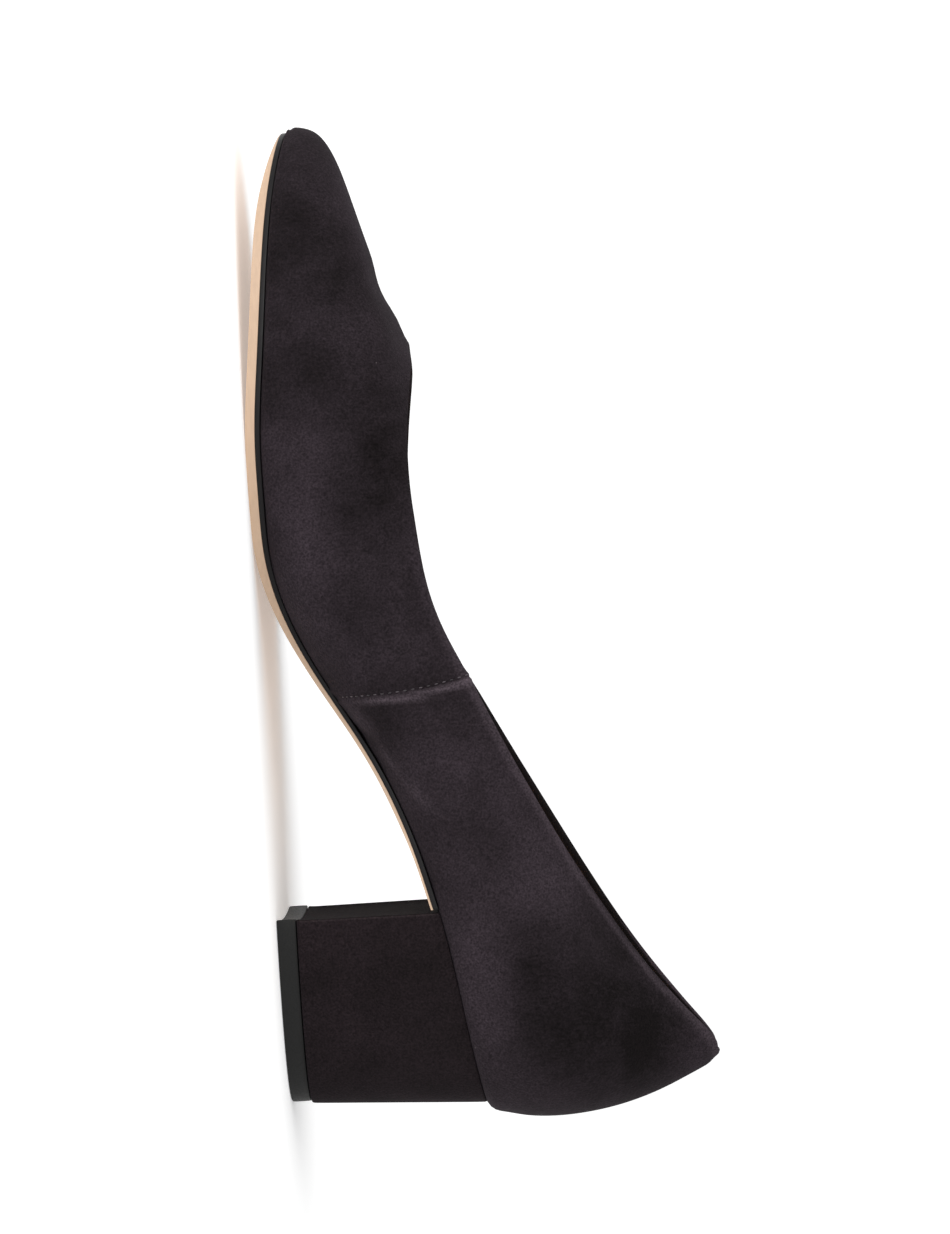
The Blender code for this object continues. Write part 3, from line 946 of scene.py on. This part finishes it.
# Hard black rubber, moulded and ground flush: dark grey and matt, with a fine grit of 0.4 mm.
where = add(tree, "TexCoord").outputs["Object"]
grit = add(tree, "TexNoise", {"Vector": where, "Scale": per_mm(0.4), "Detail": 3.0})
bloom = add(tree, "TexNoise", {"Vector": where, "Scale": per_mm(9), "Detail": 2.0})
grey = add(
    tree,
    "Mix",
    {0: bloom.outputs["Fac"], 6: linear("#101010"), 7: linear("#1a1a19")},
    data_type="RGBA",
)
ground = add(
    tree,
    "Bump",
    {"Height": grit.outputs["Fac"], "Strength": 0.35, "Distance": 0.1 * MM},
)
dull = add(
    tree,
    "MapRange",
    {"Value": grit.outputs["Fac"], "From Min": 0.3, "From Max": 0.7, "To Min": 0.5, "To Max": 0.7},
)
tree.links.new(grey.outputs[2], shader.inputs["Base Color"])
tree.links.new(dull.outputs[0], shader.inputs["Roughness"])
tree.links.new(ground.outputs[0], shader.inputs["Normal"])
shader.inputs["Specular IOR Level"].default_value = 0.25
piece("top_lift_rubber", lift, rubber, "top_lift")

# Studio: a plain white paper floor, a soft lamp on the camera's side, a wide soft light overhead and
# white light from all round the horizon. The camera looks at the inner side of the shoe, a little
# from above, and is rolled so that the toe points up in the picture.
FLOOR_SIZE = 12.0
floor_mesh = bmesh.new()
bmesh.ops.create_grid(floor_mesh, x_segments=1, y_segments=1, size=FLOOR_SIZE)
paper, tree, shader = new_material("white_paper")
# Matt white background paper, with the faint unevenness of its fibres. It also glows faintly: painted
# light that keeps it white out to the horizon, lightens the shadows on it and lights the shoe a little
# from below.
where = add(tree, "TexCoord").outputs["Object"]
pulp = add(tree, "TexNoise", {"Vector": where, "Scale": per_mm(60), "Detail": 2.0})
white = add(
    tree,
    "Mix",
    {0: pulp.outputs["Fac"], 6: linear("#fdfdfd"), 7: linear("#fbfbfb")},
    data_type="RGBA",
)
tree.links.new(white.outputs[2], shader.inputs["Base Color"])
shader.inputs["Roughness"].default_value = 0.9
shader.inputs["Specular IOR Level"].default_value = 0.1
shader.inputs["Emission Color"].default_value = linear("#ffffff")
shader.inputs["Emission Strength"].default_value = 0.25
floor_data = bpy.data.meshes.new("floor")
floor_mesh.to_mesh(floor_data)
floor_mesh.free()
floor_data.materials.append(paper)
floor = bpy.data.objects.new("floor", floor_data)
bpy.context.scene.collection.objects.link(floor)

world = bpy.data.worlds.new("studio")
world.use_nodes = True
# White round the horizon and dim overhead, as under a dark studio ceiling
tree = world.node_tree
direction = add(tree, "SeparateXYZ", {0: add(tree, "TexCoord").outputs["Generated"]})
sky = add(
    tree,
    "MapRange",
    {
        "Value": direction.outputs["Z"],
        "From Min": 0.1,
        "From Max": 0.6,
        "To Min": 1.06,
        "To Max": 0.35,
    },
)
tree.links.new(sky.outputs[0], tree.nodes["Background"].inputs["Strength"])
tree.nodes["Background"].inputs["Color"].default_value = linear("#ffffff")
bpy.context.scene.world = world
bpy.context.scene.view_settings.view_transform = "Standard"

SHOE_MIDDLE = Vector((0.0, 0.005, 0.0525))
KEY_PLACE = Vector((0.7, 1.0, 0.35))
key_data = bpy.data.lights.new("key", "AREA")
key_data.size = 0.8
key_data.energy = 6.0
key = bpy.data.objects.new("key", key_data)
key.location = KEY_PLACE
key.rotation_euler = (KEY_PLACE - SHOE_MIDDLE).to_track_quat("Z", "Y").to_euler()
bpy.context.scene.collection.objects.link(key)

OVERHEAD_FROM = Vector((0.35, 0.3, 1.0))
overhead_data = bpy.data.lights.new("overhead", "SUN")
overhead_data.energy = 1.5
overhead_data.angle = math.radians(75)
overhead = bpy.data.objects.new("overhead", overhead_data)
overhead.rotation_euler = OVERHEAD_FROM.to_track_quat("Z", "Y").to_euler()
bpy.context.scene.collection.objects.link(overhead)

CAMERA_PLACE = Vector((-0.009, 0.871, 0.067))
LEAN = math.radians(3.41)
LENS = 101.0
back = (CAMERA_PLACE - SHOE_MIDDLE).normalized()
up = Vector((math.cos(LEAN), 0, math.sin(LEAN)))
up = (up - up.dot(back) * back).normalized()
turn = Matrix((up.cross(back), up, back)).transposed()
camera_data = bpy.data.cameras.new("camera")
camera_data.lens = LENS
camera_data.clip_start = 0.01
camera = bpy.data.objects.new("camera", camera_data)
camera.matrix_world = Matrix.Translation(CAMERA_PLACE) @ turn.to_4x4()
bpy.context.scene.collection.objects.link(camera)
bpy.context.scene.camera = camera
